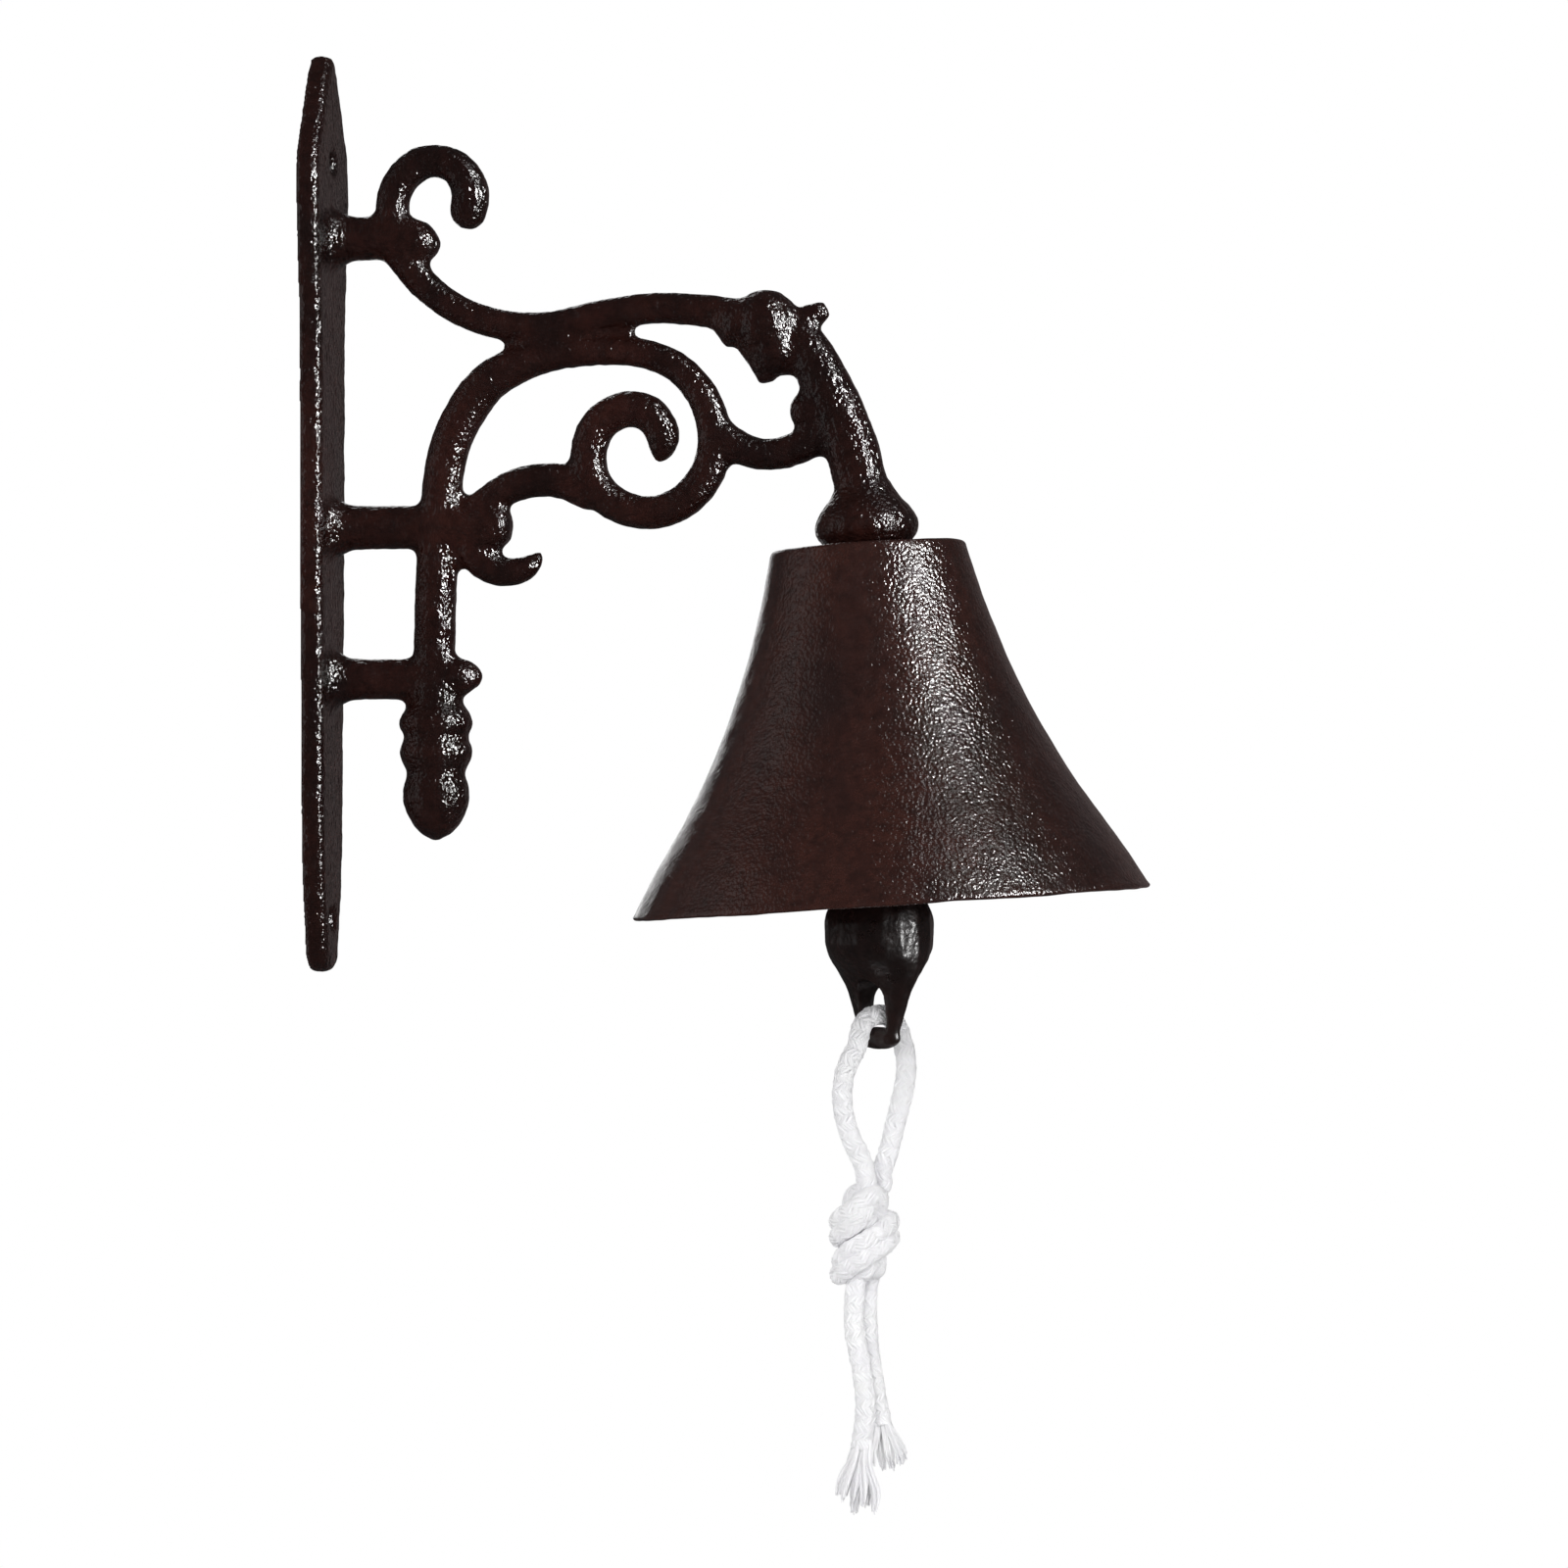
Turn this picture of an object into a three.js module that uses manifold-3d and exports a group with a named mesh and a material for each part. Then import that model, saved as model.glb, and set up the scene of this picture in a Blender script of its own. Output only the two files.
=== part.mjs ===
// A cast-iron door bell on a scrolled wall bracket, rung by a rope pull. Units are millimetres, +Z is up.
// The origin is at mid height on the back face of the wall plate, and the bracket reaches out along +X.
// The bracket is symmetric about the XZ plane. The clapper and its rope hang below the bell's crown.
import * as THREE from "three";
import { mergeVertices } from "three/addons/utils/BufferGeometryUtils.js";
import Module from "manifold-3d";

const wasm = await Module();
wasm.setup();

// ---- driving dimensions ----

const GAP = 0.3; // kept between pieces that touch

const PLATE_HALF_HEIGHT = 115;
const PLATE_THICKNESS = 5.5;
const PLATE_EDGE = 2; // round along the front edge
const SCREW_HEIGHTS = [88, -101.5];
const SCREW_HOLE_RADIUS = 2.3;
const COUNTERSINK_RADIUS = 4;

// Each lug's height, the width of its straight bar, and its nose as [x, z, width] stations.
const LUGS = [
  {
    height: 69,
    width: 11.4,
    nose: [
      [23, 69, 11.4],
      [27.5, 68, 11],
      [30.7, 67.2, 8.2],
      [32.8, 67, 2.6],
    ],
  },
  {
    height: -3.5,
    width: 11.4,
    nose: [
      [41, -3.5, 11.4],
      [46, -3.4, 12],
      [49.7, -3.3, 10.2],
      [51.3, -3.3, 4],
    ],
  },
  {
    height: -41.5,
    width: 10.6,
    nose: [
      [34, -41.4, 10.6],
      [38.2, -41, 9.9],
      [41.6, -40.9, 7],
      [43.8, -40.9, 2.2],
    ],
  },
];
const POST_X = 31.8;

const BELL_TILT = THREE.MathUtils.degToRad(3.8);
const CROWN = new THREE.Vector3(140.9, 0, -9.3); // centre of the bell's flat top
const BELL_HEIGHT = 88;
const BELL_WALL = 3.6;
const BOLT_RADIUS = 3;
const BOLT_HOLE_RADIUS = 3.4;
const SOCKET_DEPTH = 14; // how far the bolt goes up into the collar

const EYE_SEAT = 42; // from the crown's top down to the hook's seat in the bolt's eye
const EYE_WIRE = 1.9; // radius of the eye's wire
const EYE_BORE = 3.6; // radius inside the eye
const HOOK_WIRE = 1.4; // radius of the hook's wire
const HOOK_BEND = 4; // radius of each bend at the wire's centre
const HOOK_DROP = 20; // from the hook's seat to the clapper's seat
const HANG_TURN = THREE.MathUtils.degToRad(54); // how far the hanging pieces are turned from +X

const STEM_EYE_BORE = 3.4; // radius inside the eye on top of the clapper
const STEM_EYE_WIRE = 2.2;
const WEB_HEIGHT = -130.5; // centre of the web under the clapper's cord eye
const WEB_RADIUS = 2.9;
const WEB_HALF_LENGTH = 7; // the web is a long spindle that swells to WEB_RADIUS in the middle
const CORD_EYE_WIDTH = 8;
const CORD_EYE_TOP = -116;

const CORD_RADIUS = 2.6;
const KNOT_HALF_SIZE = [9.3, 8, 10.2];

// ---- materials ----

const BRACKET_IRON = 0x2b1b18;
const BELL_IRON = 0x38231f;
const ZINC = 0xb4b6b8;
const COTTON = 0xf3f1ee;
const castIron = (color) => new THREE.MeshStandardMaterial({ color, roughness: 0.45, metalness: 0.35 });
const steel = () => new THREE.MeshStandardMaterial({ color: ZINC, roughness: 0.35, metalness: 0.9 });
const cotton = () => new THREE.MeshStandardMaterial({ color: COTTON, roughness: 0.95, metalness: 0 });

// ---- solids ----

// The closed mesh of a geometry as a solid that can be joined and cut.
function solid(geometry) {
  const bare = geometry.index ? geometry.toNonIndexed() : geometry.clone();
  bare.deleteAttribute("normal");
  bare.deleteAttribute("uv");
  const merged = mergeVertices(bare, 1e-4);
  return new wasm.Manifold(
    new wasm.Mesh({
      numProp: 3,
      vertProperties: new Float32Array(merged.attributes.position.array),
      triVerts: new Uint32Array(merged.index.array),
    }),
  );
}

function geometryOf(manifold) {
  const mesh = manifold.getMesh();
  const shared = new THREE.BufferGeometry();
  shared.setAttribute("position", new THREE.BufferAttribute(mesh.vertProperties, 3));
  shared.setIndex(new THREE.BufferAttribute(mesh.triVerts, 1));
  const faceted = shared.toNonIndexed();
  faceted.computeVertexNormals();
  return faceted;
}

const joined = (geometries) => geometries.map(solid).reduce((whole, next) => whole.add(next));
const cut = (whole, geometries) => geometries.map(solid).reduce((rest, next) => rest.subtract(next), whole);

function named(name, geometry, material) {
  const mesh = new THREE.Mesh(geometry, material);
  mesh.name = name;
  return mesh;
}

// A rod of elliptical section along a smooth line in the XZ plane, with flat ends. Each station is
// [x, z, width, depth]: the width lies in the plane, and the depth, which is along Y, may be left out.
function rod(stations, steps, sides = 10) {
  const line = new THREE.CatmullRomCurve3(stations.map(([x, z]) => new THREE.Vector3(x, 0, z)));
  const size = new THREE.CatmullRomCurve3(
    stations.map(([, , width, depth = width]) => new THREE.Vector3(width, depth, 0)),
  );
  const geometry = new THREE.CylinderGeometry(1, 1, 1, sides, steps);
  const position = geometry.attributes.position;
  for (let i = 0; i < position.count; i++) {
    const along = 0.5 - position.getY(i);
    const centre = line.getPoint(along);
    const tangent = line.getTangent(along);
    const section = size.getPoint(along);
    const across = (position.getX(i) * section.x) / 2;
    const deep = (position.getZ(i) * section.y) / 2;
    position.setXYZ(i, centre.x + tangent.z * across, deep, centre.z - tangent.x * across);
  }
  return geometry;
}

const ball = (x, z, radius) =>
  new THREE.SphereGeometry(radius, 10, 7).rotateX(Math.PI / 2).translate(x, 0, z);

// A turned shape about the Z axis from [radius, z] points, which run upwards on the outside.
const turned = (points, segments) =>
  new THREE.LatheGeometry(points.map(([radius, z]) => new THREE.Vector2(radius, z)), segments).rotateX(
    Math.PI / 2,
  );

const pointsOf = (rows) => rows.map((row) => new THREE.Vector3(...row));

// A round tube with flat ends along a smooth line through [x, y, z] points.
function tube(rows, radius, steps, sides) {
  const section = new THREE.Shape(
    Array.from({ length: sides }, (_, i) => {
      const angle = (2 * Math.PI * i) / sides;
      return new THREE.Vector2(radius * Math.cos(angle), radius * Math.sin(angle));
    }),
  );
  const extrudePath = new THREE.CatmullRomCurve3(pointsOf(rows));
  return new THREE.ExtrudeGeometry(section, { steps, extrudePath });
}

// ---- wall bracket ----

// The plate: a gothic point at the top, a long taper, and a blunt round foot, flat on its back.
function plate() {
  const halfWidths = [
    [5.8, 109],
    [12, 98],
    [16.8, 88],
    [17.2, 78],
    [15.4, 60],
    [13.8, 44],
    [13.4, -10],
    [12.2, -45],
    [11.2, -85],
    [8.6, -102],
    [6.8, -110],
  ];
  const end = PLATE_HALF_HEIGHT - PLATE_EDGE;
  const right = halfWidths.map(([y, z]) => new THREE.Vector2(y - PLATE_EDGE, z));
  const left = right.map((point) => new THREE.Vector2(-point.x, point.y)).reverse();
  const outline = new THREE.Shape();
  outline.moveTo(0.6, end);
  outline.lineTo(right[0].x, right[0].y);
  outline.splineThru(right.slice(1));
  outline.quadraticCurveTo(right.at(-1).x - 1, -end, 0, -end);
  outline.quadraticCurveTo(left[0].x + 1, -end, left[0].x, left[0].y);
  outline.splineThru(left.slice(1));
  outline.lineTo(-0.6, end);
  const geometry = new THREE.ExtrudeGeometry(outline, {
    depth: PLATE_THICKNESS,
    bevelThickness: PLATE_EDGE,
    bevelSize: PLATE_EDGE,
    bevelSegments: 3,
    curveSegments: 3,
  });
  // The outline is drawn in Y and Z and extruded along X.
  const upright = new THREE.Matrix4().makeBasis(
    new THREE.Vector3(0, 1, 0),
    new THREE.Vector3(0, 0, 1),
    new THREE.Vector3(1, 0, 0),
  );
  return geometry.applyMatrix4(upright).translate(-PLATE_EDGE, 0, 0);
}

// Cutter for a countersunk screw hole through the plate, and one for all that lies behind the wall face.
function screwHole(height) {
  const sink = COUNTERSINK_RADIUS - SCREW_HOLE_RADIUS;
  return turned(
    [
      [0, -PLATE_THICKNESS],
      [SCREW_HOLE_RADIUS, -PLATE_THICKNESS],
      [SCREW_HOLE_RADIUS, PLATE_THICKNESS - sink],
      [COUNTERSINK_RADIUS, PLATE_THICKNESS],
      [COUNTERSINK_RADIUS, 2 * PLATE_THICKNESS],
      [0, 2 * PLATE_THICKNESS],
    ],
    16,
  )
    .rotateY(Math.PI / 2)
    .translate(0, 0, height);
}

const behindWallFace = () => new THREE.BoxGeometry(20, 60, 260).translate(-10, 0, 0);

// A bar that stands out from the plate on a flared root and ends in a blunt nose.
const lug = ({ height, width, nose }) =>
  rod(
    [
      [1, height, width + 6],
      [5.5, height, width + 5],
      [9.5, height, width + 0.6],
      [14, height, width],
      ...nose,
    ],
    18,
  );

// The turned drop under the lowest lug: two beads and a bulb.
const finial = () =>
  turned(
    [
      [0, -82.2],
      [1.2, -81.7],
      [3.8, -80.2],
      [5.7, -78.3],
      [7.4, -75.4],
      [8.5, -72],
      [8.4, -68.6],
      [7.4, -65.6],
      [7.2, -64.6],
      [8.4, -62.8],
      [9.3, -60.4],
      [9.3, -58.9],
      [8.5, -57.2],
      [7.4, -56],
      [8.5, -55],
      [9.4, -53.4],
      [9.4, -51.8],
      [8.3, -49.7],
      [6.8, -48],
      [6.4, -46.6],
      [6.4, -42],
      [0, -42],
    ],
    16,
  ).translate(POST_X, 0, 0);

// The post rises into one long bar that arches over, turns back as a ring and ends in a tapered curl.
const postAndScroll = () =>
  rod(
    [
      [31.5, -42, 10.8],
      [31.5, -28, 10.8],
      [32, -12, 10.8],
      [33, 2, 10.6],
      [34.5, 14, 10.4],
      [37.5, 22, 10.5],
      [44.5, 32, 10.5],
      [53, 37, 9.6],
      [63, 39.5, 8.4],
      [75, 40, 7.6],
      [85.5, 39, 7.6],
      [94, 35, 8],
      [100, 27.5, 8.5],
      [102.5, 18, 8.8],
      [100.5, 9, 9],
      [94, 2, 9],
      [86, -0.5, 8.6],
      [78, 1.5, 9],
      [72, 7, 9.5],
      [70.5, 14.5, 9.6],
      [73.5, 22, 9.4],
      [80, 25.5, 9.4],
      [86.5, 24, 9.4],
      [89.3, 19, 9],
      [89, 15, 6.8],
      [88, 12, 1.6],
    ],
    74,
  );

// The arm that leaves the top lug, lies along the arch and ends in the bud.
const upperArm = () =>
  rod(
    [
      [22, 66, 9],
      [28.5, 57.5, 8],
      [37, 51, 7.8],
      [48, 47, 7.8],
      [60, 46.2, 8],
      [74, 48.8, 8.2],
      [88, 50.5, 8],
      [97, 49.9, 8.4],
      [103, 49.1, 8.6],
      [109, 46.2, 14.8],
    ],
    26,
  );

const topHook = () => [
  rod(
    [
      [20.5, 66, 9.6],
      [20.5, 74, 8.8],
      [21.5, 81.5, 8.8],
      [26.5, 87, 8.8],
      [32, 88.3, 8.6],
      [37.5, 86, 9],
      [40.6, 80, 9.8],
      [40.2, 75.8, 9.6],
    ],
    20,
  ),
  ball(40, 75.6, 4.9),
];

const lowerArm = () =>
  rod(
    [
      [38, -3, 8],
      [44.5, 2.8, 7.8],
      [52, 6.8, 8.6],
      [62, 8, 8.8],
      [72, 4, 8.8],
    ],
    12,
  );

// The small hooked leaf under the middle lug.
const lugLeaf = () =>
  rod(
    [
      [39, -4, 9],
      [42.5, -11.5, 8.6],
      [48, -14.8, 7.6],
      [53.5, -14.5, 7],
      [57, -12.2, 4.8],
      [58.6, -9.8, 1.4],
    ],
    12,
  );

// The bar that dips from the ring to the neck, with the leaf where it joins the neck.
const linkScroll = () => [
  rod(
    [
      [102.5, 20, 9],
      [107, 16.5, 8.8],
      [113, 14, 8.2],
      [119, 14, 8.2],
      [125, 16, 8.6],
      [133, 20, 8],
    ],
    14,
  ),
  ball(126, 24.5, 5),
];

// The bud at the end of the upper arm: two petals point down and a spur points up over the neck.
const bud = () => [
  ball(115.3, 46.2, 8.7),
  ball(118, 40.2, 7),
  rod(
    [
      [112.5, 42, 10],
      [114.8, 36.5, 7.6],
      [115.6, 31.6, 4.4],
    ],
    6,
  ),
  rod(
    [
      [120, 41, 9],
      [121.2, 36.5, 6],
      [122, 33.4, 3],
    ],
    6,
  ),
  rod(
    [
      [120, 43, 9],
      [126, 47.3, 7.2],
      [130.8, 49.7, 4.4],
    ],
    6,
  ),
];

const neck = () =>
  rod(
    [
      [121, 46, 8],
      [125.5, 41, 10.5],
      [129.2, 33.5, 12.8, 12],
      [133.4, 24, 13.8, 12.6],
      [136.9, 15, 14, 13],
      [139.3, 5, 13.4, 13.4],
    ],
    14,
  );

// The collar that the bell's crown is drawn up against, in the bell's own tilted frame.
const collar = () =>
  turned(
    [
      [0, GAP],
      [10.6, GAP],
      [11.6, 1.6],
      [12.8, 3.2],
      [13.1, 5.2],
      [12.6, 7],
      [11.3, 9.2],
      [8.4, 12.6],
      [7.2, 14.6],
      [6.2, 16.2],
      [0, 16.2],
    ],
    20,
  );

const boltSocket = () =>
  new THREE.CylinderGeometry(BOLT_HOLE_RADIUS, BOLT_HOLE_RADIUS, SOCKET_DEPTH, 16)
    .rotateX(Math.PI / 2)
    .translate(0, 0, SOCKET_DEPTH / 2);

function wallBracket(bellFrame) {
  const casting = joined([
    plate(),
    ...LUGS.map(lug),
    finial(),
    postAndScroll(),
    upperArm(),
    ...topHook(),
    lowerArm(),
    lugLeaf(),
    ...linkScroll(),
    ...bud(),
    neck(),
    collar().applyMatrix4(bellFrame),
  ]);
  return cut(casting, [
    behindWallFace(),
    ...SCREW_HEIGHTS.map(screwHole),
    boltSocket().applyMatrix4(bellFrame),
  ]);
}

// ---- bell and its bolt, in the bell's tilted frame with the crown's top at the origin ----

// Radius of the outside at each depth below the crown: nearly a cone that flares to the mouth.
const BELL_FLARE = new THREE.SplineCurve(
  [
    [24.2, 1.2],
    [27, 12],
    [33, 30],
    [40.4, 48],
    [48, 62],
    [57, 76],
    [63.8, BELL_HEIGHT],
  ].map(([radius, depth]) => new THREE.Vector2(radius, depth)),
);

function bell() {
  const outside = BELL_FLARE.getPoints(11).map(({ x, y }) => [x, -y]);
  const inside = outside
    .slice(1, -1)
    .map(([radius, z]) => [radius - BELL_WALL, z])
    .filter(([, z]) => z < -2 * BELL_WALL);
  return turned(
    [
      [BOLT_HOLE_RADIUS, -BELL_WALL],
      [19, -BELL_WALL],
      [20.8, -BELL_WALL - 1.2],
      ...inside,
      [60.6, 0.4 - BELL_HEIGHT],
      [61.2, -BELL_HEIGHT],
      ...outside.reverse(),
      [23, 0],
      [BOLT_HOLE_RADIUS, 0],
      [BOLT_HOLE_RADIUS, -BELL_WALL],
    ],
    48,
  );
}

// A flat ring about the bolt, from `depth` below the crown's top downwards.
const washer = (radius, depth, thickness) =>
  turned(
    [
      [BOLT_HOLE_RADIUS, -depth - thickness],
      [radius, -depth - thickness],
      [radius, -depth],
      [BOLT_HOLE_RADIUS, -depth],
      [BOLT_HOLE_RADIUS, -depth - thickness],
    ],
    28,
  );

const WASHER_THICKNESS = 1.4;
const NUT_HEIGHT = 5;
const NUT_CORNER_RADIUS = 5.77;
const WASHER_DEPTH = BELL_WALL + GAP;
const SPRING_DEPTH = WASHER_DEPTH + WASHER_THICKNESS + GAP;
const NUT_DEPTH = SPRING_DEPTH + WASHER_THICKNESS + GAP;

function splitWasher() {
  const slit = new THREE.BoxGeometry(8, 0.9, 8).rotateX(0.5);
  return cut(solid(washer(5.6, SPRING_DEPTH, WASHER_THICKNESS)), [slit.translate(6, 0, -SPRING_DEPTH)]);
}

function lockNut() {
  const blank = new THREE.CylinderGeometry(NUT_CORNER_RADIUS, NUT_CORNER_RADIUS, NUT_HEIGHT, 6);
  const bore = new THREE.CylinderGeometry(BOLT_RADIUS + GAP, BOLT_RADIUS + GAP, 3 * NUT_HEIGHT, 16);
  const nut = cut(solid(blank), [bore]);
  return geometryOf(nut).rotateX(Math.PI / 2).translate(0, 0, -NUT_DEPTH - NUT_HEIGHT / 2);
}

// The bolt is screwed into the collar, and its eye lies in the plane that the hook swings in.
function eyeBolt() {
  const eyeRadius = EYE_BORE + EYE_WIRE;
  const eyeCentre = EYE_BORE - HOOK_WIRE - GAP - EYE_SEAT;
  const top = SOCKET_DEPTH - 1;
  const bottom = eyeCentre + eyeRadius;
  const shank = new THREE.CylinderGeometry(BOLT_RADIUS, BOLT_RADIUS, top - bottom, 16);
  return joined([
    shank.rotateX(Math.PI / 2).translate(0, 0, (top + bottom) / 2),
    new THREE.TorusGeometry(eyeRadius, EYE_WIRE, 8, 20).rotateX(Math.PI / 2).translate(0, 0, eyeCentre),
  ]);
}

// ---- hanging pieces, in a frame whose origin is the hook's seat, turned with the bolt's eye ----

// An S-hook with a quarter twist: its top bend crosses the bolt's eye along Y, and its bottom bend
// crosses the clapper's eye along X.
function clapperHook() {
  const bend = HOOK_BEND;
  const quarters = [-1, -0.5, 0, 0.5, 1].map((turn) => (turn * Math.PI) / 2);
  const top = quarters.map((angle) => [0, bend * Math.sin(angle), bend * (Math.cos(angle) - 1)]);
  const bottom = quarters.map((angle) => [
    bend * Math.sin(angle),
    0,
    bend * (1 - Math.cos(angle)) - HOOK_DROP,
  ]);
  const route = [
    [0, -bend, -bend - 2.5],
    ...top,
    [0, bend, -bend - 3.5],
    [-bend * 0.5, bend * 0.5, -HOOK_DROP / 2 - 1.5],
    ...bottom,
    [bend, 0, bend - HOOK_DROP + 2.5],
  ];
  return tube(route, HOOK_WIRE, 38, 8);
}

// The clapper: an eye on a stem, a heavy pear, and a flat tongue with the cord's eye through it along X.
function clapper(seatHeight) {
  const eyeRadius = STEM_EYE_BORE + STEM_EYE_WIRE;
  const eyeCentre = seatHeight - HOOK_DROP + HOOK_WIRE + GAP - STEM_EYE_BORE;
  const stemTop = eyeCentre - eyeRadius;
  const body = rod(
    [
      [0, stemTop, 6],
      [0, stemTop - 4, 8],
      [0, -91, 13],
      [0, -97, 24],
      [0, -102, 27.2],
      [0, -107, 27],
      [0, -111, 22, 27],
      [0, -115, 13, 24.5],
      [0, -119, 7.8, 20.5],
      [0, -123, 5.9, 18],
      [0, -127, 5.6, 15],
      [0, -131, 5, 11],
    ],
    22,
    16,
  );
  const eye = new THREE.TorusGeometry(eyeRadius, STEM_EYE_WIRE, 8, 18).rotateY(Math.PI / 2);
  const slotTop = CORD_EYE_TOP - CORD_EYE_WIDTH / 2;
  const slotBottom = WEB_HEIGHT - 3 * WEB_RADIUS;
  const across = 40;
  const arch = new THREE.CylinderGeometry(CORD_EYE_WIDTH / 2, CORD_EYE_WIDTH / 2, across, 20);
  const slot = new THREE.BoxGeometry(across, CORD_EYE_WIDTH, slotTop - slotBottom);
  const web = new THREE.SphereGeometry(WEB_RADIUS, 16, 12).scale(1, WEB_HALF_LENGTH / WEB_RADIUS, 1);
  const legs = cut(joined([body, eye.translate(0, 0, eyeCentre)]), [
    arch.rotateZ(Math.PI / 2).translate(0, 0, slotTop),
    slot.translate(0, 0, (slotTop + slotBottom) / 2),
  ]);
  return geometryOf(legs.add(solid(web.translate(0, 0, WEB_HEIGHT)))).translate(0, 0, -seatHeight);
}

// ---- rope, as [x, y, z] points at rest ----

// Up the near strand, over the clapper's web, and down the far strand.
const LOOP_ROUTE = [
  [140.2, 0.3, -167.6],
  [140.3, -0.2, -164],
  [139.4, -1.2, -160.5],
  [137.4, -2.5, -156],
  [135.8, -3.6, -151],
  [135.2, -4.8, -145.5],
  [135.7, -5.9, -140.5],
  [137.2, -6.7, -136],
  [139, -6.5, -132.5],
  [139.8, -5.3, -128.2],
  [141.4, -3.1, -125.6],
  [143.7, 0, -124.7],
  [146, 3.1, -125.6],
  [147.6, 5.3, -128.2],
  [148.7, 6.5, -132.5],
  [149.5, 6.6, -136],
  [149.4, 6.3, -140.5],
  [148.5, 5.8, -145.5],
  [147.2, 5.3, -151],
  [146, 5.2, -156],
  [144.8, 5.3, -160.5],
  [143.5, 5.6, -164],
  [143.2, 6.1, -167.6],
];
const LEFT_TAIL_ROUTE = [
  [138.1, 0.7, -189.4],
  [137.4, 0.4, -196],
  [137.5, 0.3, -203],
  [139.3, 0.6, -213],
  [140.2, 0.4, -222],
  [139.1, -0.5, -232],
  [136.9, -1.5, -241],
  [135.4, -2.2, -246.8],
];
const RIGHT_TAIL_ROUTE = [
  [140.6, 5.9, -189.4],
  [139.9, 5.6, -196],
  [140, 5.7, -203],
  [141, 6, -213],
  [142.6, 5.7, -222],
  [144.8, 5.4, -232],
  [146.7, 5.5, -241],
  [147, 5.6, -244],
];
const KNOT_CENTRE = [139.6, 3, -178.6];

const cordKnot = () => {
  const [x, y, z] = KNOT_HALF_SIZE;
  return new THREE.SphereGeometry(1, 16, 12).rotateX(Math.PI / 2).scale(x, y, z);
};

// ---- assembly ----

const bellGroup = new THREE.Group();
bellGroup.position.copy(CROWN);
bellGroup.rotation.y = -BELL_TILT;
bellGroup.updateMatrixWorld(true);
const bolt = named("eye_bolt", geometryOf(eyeBolt()), steel());
bolt.rotation.z = HANG_TURN;
bellGroup.add(
  named("bell", bell(), castIron(BELL_IRON)),
  named("crown_washer", washer(7.5, WASHER_DEPTH, WASHER_THICKNESS), steel()),
  named("spring_washer", geometryOf(splitWasher()), steel()),
  named("lock_nut", lockNut(), steel()),
  bolt,
);

const hangGroup = new THREE.Group();
hangGroup.position.set(0, 0, -EYE_SEAT).applyMatrix4(bellGroup.matrixWorld);
hangGroup.rotation.z = HANG_TURN;
hangGroup.add(
  named("clapper_hook", clapperHook(), steel()),
  named("clapper", clapper(hangGroup.position.z), castIron(BRACKET_IRON)),
);

const knot = named("cord_knot", cordKnot(), cotton());
knot.position.set(...KNOT_CENTRE);

const wallBell = new THREE.Group();
wallBell.add(
  named("wall_bracket", geometryOf(wallBracket(bellGroup.matrixWorld)), castIron(BRACKET_IRON)),
  bellGroup,
  hangGroup,
  named("cord_loop", tube(LOOP_ROUTE, CORD_RADIUS, 26, 10), cotton()),
  knot,
  named("cord_tail_left", tube(LEFT_TAIL_ROUTE, CORD_RADIUS, 7, 10), cotton()),
  named("cord_tail_right", tube(RIGHT_TAIL_ROUTE, CORD_RADIUS, 7, 10), cotton()),
);
export default wallBell;
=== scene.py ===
import math

import bmesh
import bpy
import numpy as np
from mathutils import Matrix, Vector


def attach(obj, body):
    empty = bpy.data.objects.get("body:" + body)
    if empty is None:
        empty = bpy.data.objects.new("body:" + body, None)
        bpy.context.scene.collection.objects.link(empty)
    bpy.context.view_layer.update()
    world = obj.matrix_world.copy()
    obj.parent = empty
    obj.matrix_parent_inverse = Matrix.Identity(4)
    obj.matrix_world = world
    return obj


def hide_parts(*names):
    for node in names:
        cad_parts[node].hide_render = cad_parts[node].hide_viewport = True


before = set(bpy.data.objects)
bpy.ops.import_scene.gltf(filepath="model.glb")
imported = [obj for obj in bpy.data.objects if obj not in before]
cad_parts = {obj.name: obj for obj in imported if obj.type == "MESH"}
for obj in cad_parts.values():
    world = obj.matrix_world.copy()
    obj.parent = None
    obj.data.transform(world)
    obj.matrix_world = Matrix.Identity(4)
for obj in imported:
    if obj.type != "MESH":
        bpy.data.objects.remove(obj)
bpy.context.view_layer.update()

# Everything is in metres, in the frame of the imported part: the wall is at x = 0 and z points up.
MM = 0.001

# ---- camera ----

CAMERA_TURN = math.radians(9)  # round from straight in front, towards +X
CAMERA_DISTANCE = 1.3
CAMERA_TARGET = Vector((0.1199, 0, -0.0756))
CAMERA_PITCH = math.radians(0.342)
SENSOR_WIDTH = 36
LENS = 120.6

# ---- the bell, in its own tilted frame, from the middle of its flat crown downwards ----

CROWN = Vector((0.1409, 0, -0.0093))
BELL_TILT = math.radians(3.8)
BELL_HEIGHT = 88 * MM
BELL_WALL = 3.6 * MM
BOLT_HOLE_RADIUS = 3.4 * MM
# Radius of the outside at each depth, in millimetres.
BELL_FLARE = [(24.2, 1.2), (27, 12), (33, 30), (40.4, 48), (48, 62), (57, 76), (63.8, 88)]

# ---- the bolt's thread, at depths below the crown ----

THREAD_RADIUS = 2.9 * MM
THREAD_PITCH = 1 * MM
THREAD_START, THREAD_END = 11.6 * MM, 30 * MM

# ---- cord ----

CORD_DIAMETER = 5.2 * MM
KNOT_SQUEEZE = 0.97  # the cord is this much thinner where the knot presses it
KNOT_TILT = 0.38  # how steeply the knot's wraps rise towards +X
CARRIERS = 8  # bands in the braid, half of them each way round
ENDS = 4  # yarns side by side in each band
BRAID_PITCH = 17 * MM
PLIES = 14  # fine plies in each tuft of a frayed end
KNOT_CENTRE = Vector((0.1396, 0.003, -0.1786))

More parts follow.
